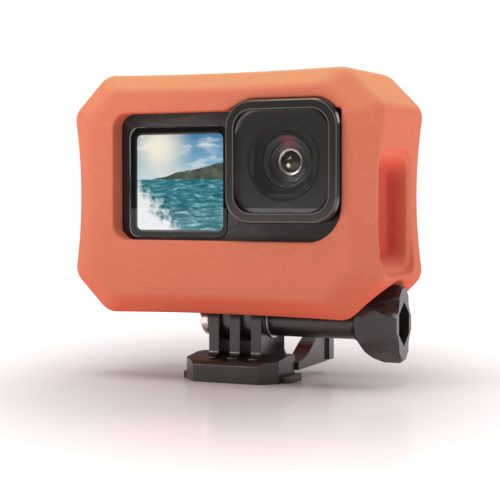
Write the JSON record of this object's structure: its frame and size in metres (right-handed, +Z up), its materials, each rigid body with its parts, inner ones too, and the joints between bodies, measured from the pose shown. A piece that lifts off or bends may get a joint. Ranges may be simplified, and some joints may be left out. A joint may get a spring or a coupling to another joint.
{
  "type": "action camera",
  "caption": "Square-lens action camera in a foam float, tilting on a quick-release buckle and clamped by a thumbscrew.",
  "frame": {"origin": "middle of the buckle's resting face, straight under the thumbscrew's axis at the middle finger", "axes": "+X to the right of someone facing the lens, along the thumbscrew towards its knob; -Y out of the lens; +Z up from the resting face"},
  "size_m": [0.0909, 0.044, 0.0812],
  "materials": {
    "foam": "matte",
    "case": "satin",
    "gloss_black": "gloss",
    "mount_black": "satin",
    "clear_glass": "gloss",
    "screen_glass": "gloss",
    "lens_glass": "gloss",
    "screen": "gloss",
    "seal": "matte",
    "steel": "satin",
    "nut_steel": "satin",
    "alloy": "satin",
    "board": "satin",
    "chip": "gloss",
    "pack": "matte",
    "light": "gloss"
  },
  "bodies": {
    "buckle": {"buckle_base": "mount_black", "thumbscrew_nut": "nut_steel"},
    "camera": {"float_body": "foam", "camera_front_shell": "case", "camera_rear_shell": "case", "shell_gasket": "seal", "shell_screws": "steel", "front_display_glass": "screen_glass", "front_display": "screen", "rear_touch_glass": "screen_glass", "rear_display": "screen", "status_light": "light", "lens_cover_frame": "gloss_black", "lens_cover_glass": "clear_glass", "lens_cover_seal": "seal", "lens_barrel": "gloss_black", "lens_trim_ring": "gloss_black", "lens_front_element": "lens_glass", "lens_rear_elements": "lens_glass", "image_sensor": "chip", "sensor_board": "board", "main_board": "board", "heat_spreader": "alloy", "battery": "pack", "memory_card": "case", "usb_port": "steel", "speaker": "steel", "battery_door": "case", "battery_door_seal": "seal", "battery_door_pin": "steel", "shutter_switch": "steel", "mode_switch": "steel", "mounting_finger_left": "mount_black", "mounting_finger_right": "mount_black", "finger_pins": "steel"},
    "shutter": {"shutter_button": "gloss_black"},
    "mode": {"mode_button": "case"},
    "clip_left": {"buckle_clip_left": "mount_black"},
    "clip_right": {"buckle_clip_right": "mount_black"},
    "washer": {"thumbscrew_washer": "steel"},
    "thumbscrew": {"thumbscrew_knob": "mount_black", "thumbscrew_bolt": "steel"}
  },
  "joints": [
    {"name": "camera_tilt", "type": "hinge", "parent": "buckle", "child": "camera", "pos_m": [0, 0, 0.0161], "axis": [1, 0, 0], "range_deg": [-20, 38]},
    {"name": "thumbscrew_travel", "type": "slide", "parent": "buckle", "child": "washer", "axis": [1, 0, 0], "range_m": [0, 0.0016]},
    {"name": "thumbscrew_turn", "type": "hinge", "parent": "washer", "child": "thumbscrew", "pos_m": [0.03, 0, 0.0161], "axis": [1, 0, 0], "range_deg": [0, 720.1]},
    {"name": "shutter_press", "type": "slide", "parent": "camera", "child": "shutter", "axis": [0, 0, -1], "range_m": [0, 0.0006], "stiffness_N_per_m": 1500},
    {"name": "mode_press", "type": "slide", "parent": "camera", "child": "mode", "axis": [1, 0, 0], "range_m": [0, 0.0006], "stiffness_N_per_m": 1500},
    {"name": "clip_left_squeeze", "type": "hinge", "parent": "buckle", "child": "clip_left", "pos_m": [-0.0121, 0.0017, 0.005], "axis": [0, 0, -1], "range_deg": [0, 4], "stiffness_Nm_per_rad": 0.5},
    {"name": "clip_right_squeeze", "type": "hinge", "parent": "buckle", "child": "clip_right", "pos_m": [0.0121, 0.0017, 0.005], "axis": [0, 0, 1], "range_deg": [0, 4], "stiffness_Nm_per_rad": 0.5}
  ],
  "couplings": [
    {"joint": "thumbscrew_turn", "follows": "thumbscrew_travel", "rad_per_m": 7854}
  ]
}
